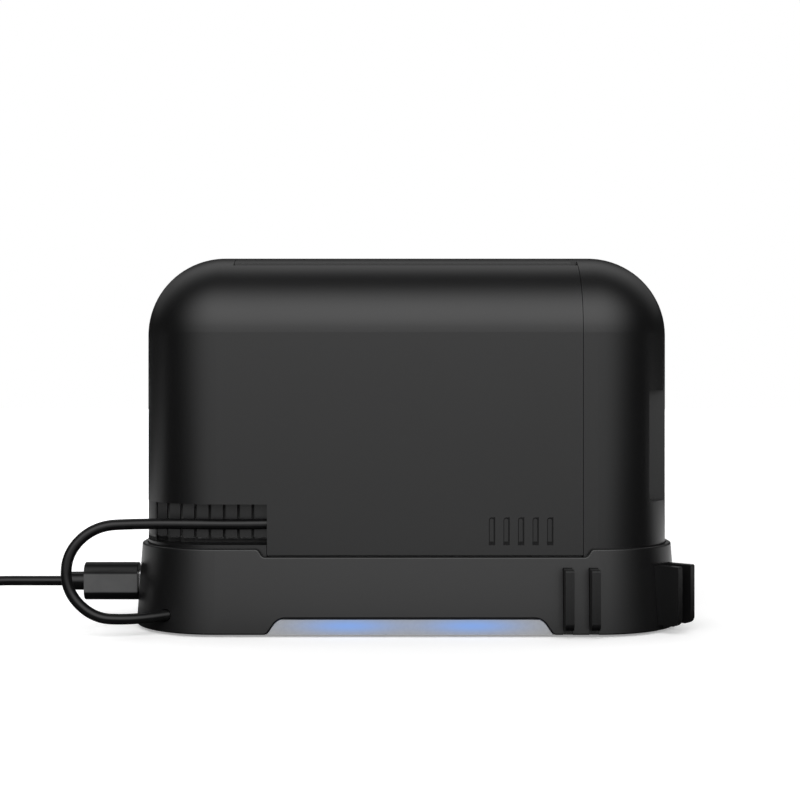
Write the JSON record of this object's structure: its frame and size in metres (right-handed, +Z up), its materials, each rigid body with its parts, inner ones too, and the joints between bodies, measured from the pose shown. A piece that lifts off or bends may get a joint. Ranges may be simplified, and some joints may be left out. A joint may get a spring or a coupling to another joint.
{
  "type": "handheld console dock",
  "caption": "Upright dock with a through slot and a pull-off rear cover over its cable bay, standing on a lit base with side rails, a link cord and a plugged-in power lead.",
  "frame": {"origin": "middle of the base's footprint on the table, on the mat's underside", "axes": "+X to the right seen from the rear, +Y from the rear to the front plate, +Z up"},
  "size_m": [0.3571, 0.0838, 0.1431],
  "materials": {
    "black_plastic": "fine spark-eroded matte",
    "soft_black": "soft matte",
    "cord_sheath": "satin sheath",
    "plug_moulding": "satin moulding",
    "bare_steel": "bright plated",
    "circuit_board": "solder-masked board",
    "port_moulding": "moulded",
    "light_diffuser": "milky diffuser, lit from behind",
    "light_source": "clear lens"
  },
  "bodies": {
    "dock": {"base_board": "circuit_board", "base_floor": "black_plastic", "base_pad": "soft_black", "base_screws": "bare_steel", "base_shell": "black_plastic", "board_screws": "bare_steel", "cable_exit_panel": "black_plastic", "coil_tie": "cord_sheath", "connector_pin": "bare_steel", "cord_anchor": "black_plastic", "fan_frame": "black_plastic", "far_plug_body": "plug_moulding", "far_plug_boot": "cord_sheath", "far_plug_nose": "bare_steel", "front_guides": "soft_black", "front_plate": "black_plastic", "led_board": "circuit_board", "led_left": "light_source", "led_right": "light_source", "light_bar": "light_diffuser", "link_cable": "cord_sheath", "link_plug_body": "plug_moulding", "link_plug_boot": "cord_sheath", "link_plug_nose": "bare_steel", "main_board": "circuit_board", "network_port": "port_moulding", "pod_feet": "soft_black", "pod_floor": "black_plastic", "pod_housing": "black_plastic", "pod_screws": "bare_steel", "port_shroud": "black_plastic", "power_cord": "cord_sheath", "power_cord_coil": "cord_sheath", "power_inlet": "bare_steel", "power_plug_body": "plug_moulding", "power_plug_boot": "cord_sheath", "power_plug_nose": "bare_steel", "power_port": "bare_steel", "rear_guides": "soft_black", "rear_holder_rails": "black_plastic", "side_board": "circuit_board", "side_holder_rails": "black_plastic", "side_port_lower": "bare_steel", "side_port_upper": "bare_steel", "status_light": "light_source", "video_port": "bare_steel"},
    "cover": {"rear_cover": "black_plastic"},
    "fan": {"fan_rotor": "black_plastic"},
    "connector": {"connector_carrier": "black_plastic", "docking_plug": "bare_steel"}
  },
  "joints": [
    {"name": "cover_pull", "type": "slide", "parent": "dock", "child": "cover", "axis": [0, -1, 0], "range_m": [0, 0.06]},
    {"name": "fan_spin", "type": "hinge", "parent": "dock", "child": "fan", "pos_m": [0.04235, -0.0144, 0.049], "axis": [0, 1, 0], "continuous": true},
    {"name": "connector_sway", "type": "hinge", "parent": "dock", "child": "connector", "pos_m": [0, 0.0116, 0.041], "axis": [1, 0, 0], "range_deg": [-4, 4], "stiffness_Nm_per_rad": 0.05}
  ]
}
